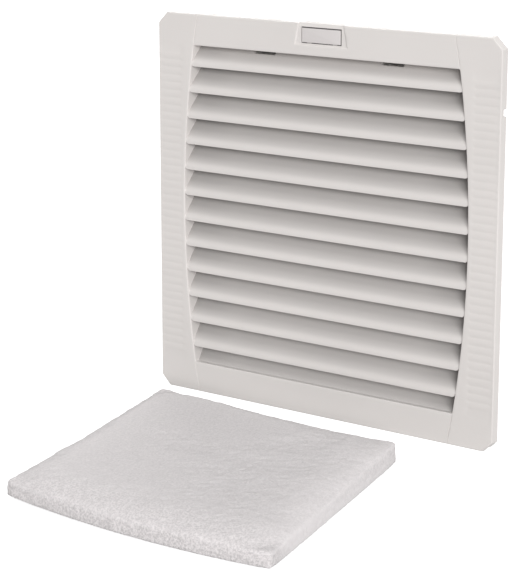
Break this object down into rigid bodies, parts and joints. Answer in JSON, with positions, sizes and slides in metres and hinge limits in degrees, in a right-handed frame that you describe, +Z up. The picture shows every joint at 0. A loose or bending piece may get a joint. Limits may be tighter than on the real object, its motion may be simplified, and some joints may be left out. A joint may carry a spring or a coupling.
{
  "type": "cabinet filter fan",
  "caption": "Square louvred front with a press button, hinged on a panel frame with an axial fan and wire guard behind, and its loose square filter mat lying in front.",
  "frame": {"origin": "centre of the square panel cut-out, on the panel's front plane", "axes": "+X right as seen from the front, +Y into the cabinet, +Z up"},
  "size_m": [0.322, 0.4122, 0.3214],
  "materials": {
    "cover_plastic": "fine matt moulding, light grey",
    "button_plastic": "smooth moulding, light grey",
    "frame_plastic": "fine matt moulding, light grey",
    "gasket_foam": "closed-cell foam, black",
    "mat_fleece": "white bonded fleece",
    "black_plastic": "satin black",
    "cast_aluminium": "as cast",
    "steel": "zinc plated",
    "lamination_steel": "stacked sheets, dull",
    "copper": "enamelled copper wire",
    "terminal_plastic": "moulded grey",
    "lead_jacket": "smooth black jacket"
  },
  "bodies": {
    "frame": {"base_frame": "frame_plastic", "panel_gasket": "gasket_foam", "hinge_pin_left": "steel", "hinge_pin_right": "steel", "clip_pin_1": "steel", "clip_pin_2": "steel", "clip_pin_3": "steel", "clip_pin_4": "steel", "filter_mat": "mat_fleece", "support_grid": "frame_plastic", "fan_shroud": "frame_plastic", "shroud_screw_1": "steel", "shroud_screw_2": "steel", "shroud_screw_3": "steel", "shroud_screw_4": "steel", "fan_housing": "cast_aluminium", "fan_screw_1": "steel", "fan_screw_2": "steel", "fan_screw_3": "steel", "fan_screw_4": "steel", "stator_core": "lamination_steel", "stator_windings": "copper", "bearing_front": "steel", "bearing_rear": "steel", "finger_guard": "steel", "guard_screw_1": "steel", "guard_screw_2": "steel", "guard_screw_3": "steel", "guard_screw_4": "steel", "terminal_block": "terminal_plastic", "terminal_screw_1": "steel", "terminal_screw_2": "steel", "terminal_screw_3": "steel", "motor_lead": "lead_jacket"},
    "cover": {"louvre_cover": "cover_plastic", "latch_pin": "steel", "latch_spring": "steel"},
    "latch": {"latch_button": "button_plastic"},
    "clip_1": {"panel_clip_1": "black_plastic"},
    "clip_2": {"panel_clip_2": "black_plastic"},
    "clip_3": {"panel_clip_3": "black_plastic"},
    "clip_4": {"panel_clip_4": "black_plastic"},
    "rotor": {"motor_shaft": "steel", "rotor_cup": "steel", "rotor_ring": "lamination_steel", "impeller": "black_plastic"}
  },
  "joints": [
    {"name": "cover_hinge", "type": "hinge", "parent": "frame", "child": "cover", "pos_m": [0, -0.0041, -0.1562], "axis": [1, 0, 0], "range_deg": [0, 65]},
    {"name": "latch_press", "type": "hinge", "parent": "cover", "child": "latch", "pos_m": [0, -0.0034, 0.1412], "axis": [-1, 0, 0], "range_deg": [0, 8], "stiffness_Nm_per_rad": 0.05, "springref_deg": -5.73, "deforming": ["latch_spring"]},
    {"name": "clip_1_fold", "type": "hinge", "parent": "frame", "child": "clip_1", "pos_m": [-0.137, 0.0175, -0.105], "axis": [0, 0, 1], "range_deg": [0, 11], "stiffness_Nm_per_rad": 0.4, "springref_deg": -5.73},
    {"name": "clip_2_fold", "type": "hinge", "parent": "frame", "child": "clip_2", "pos_m": [-0.137, 0.0175, 0.105], "axis": [0, 0, 1], "range_deg": [0, 11], "stiffness_Nm_per_rad": 0.4, "springref_deg": -5.73},
    {"name": "clip_3_fold", "type": "hinge", "parent": "frame", "child": "clip_3", "pos_m": [0.137, 0.0175, -0.105], "axis": [0, 0, -1], "range_deg": [0, 11], "stiffness_Nm_per_rad": 0.4, "springref_deg": -5.73},
    {"name": "clip_4_fold", "type": "hinge", "parent": "frame", "child": "clip_4", "pos_m": [0.137, 0.0175, 0.105], "axis": [0, 0, -1], "range_deg": [0, 11], "stiffness_Nm_per_rad": 0.4, "springref_deg": -5.73},
    {"name": "fan_spin", "type": "hinge", "parent": "frame", "child": "rotor", "pos_m": [0, 0.08, 0], "axis": [0, 1, 0], "continuous": true}
  ]
}
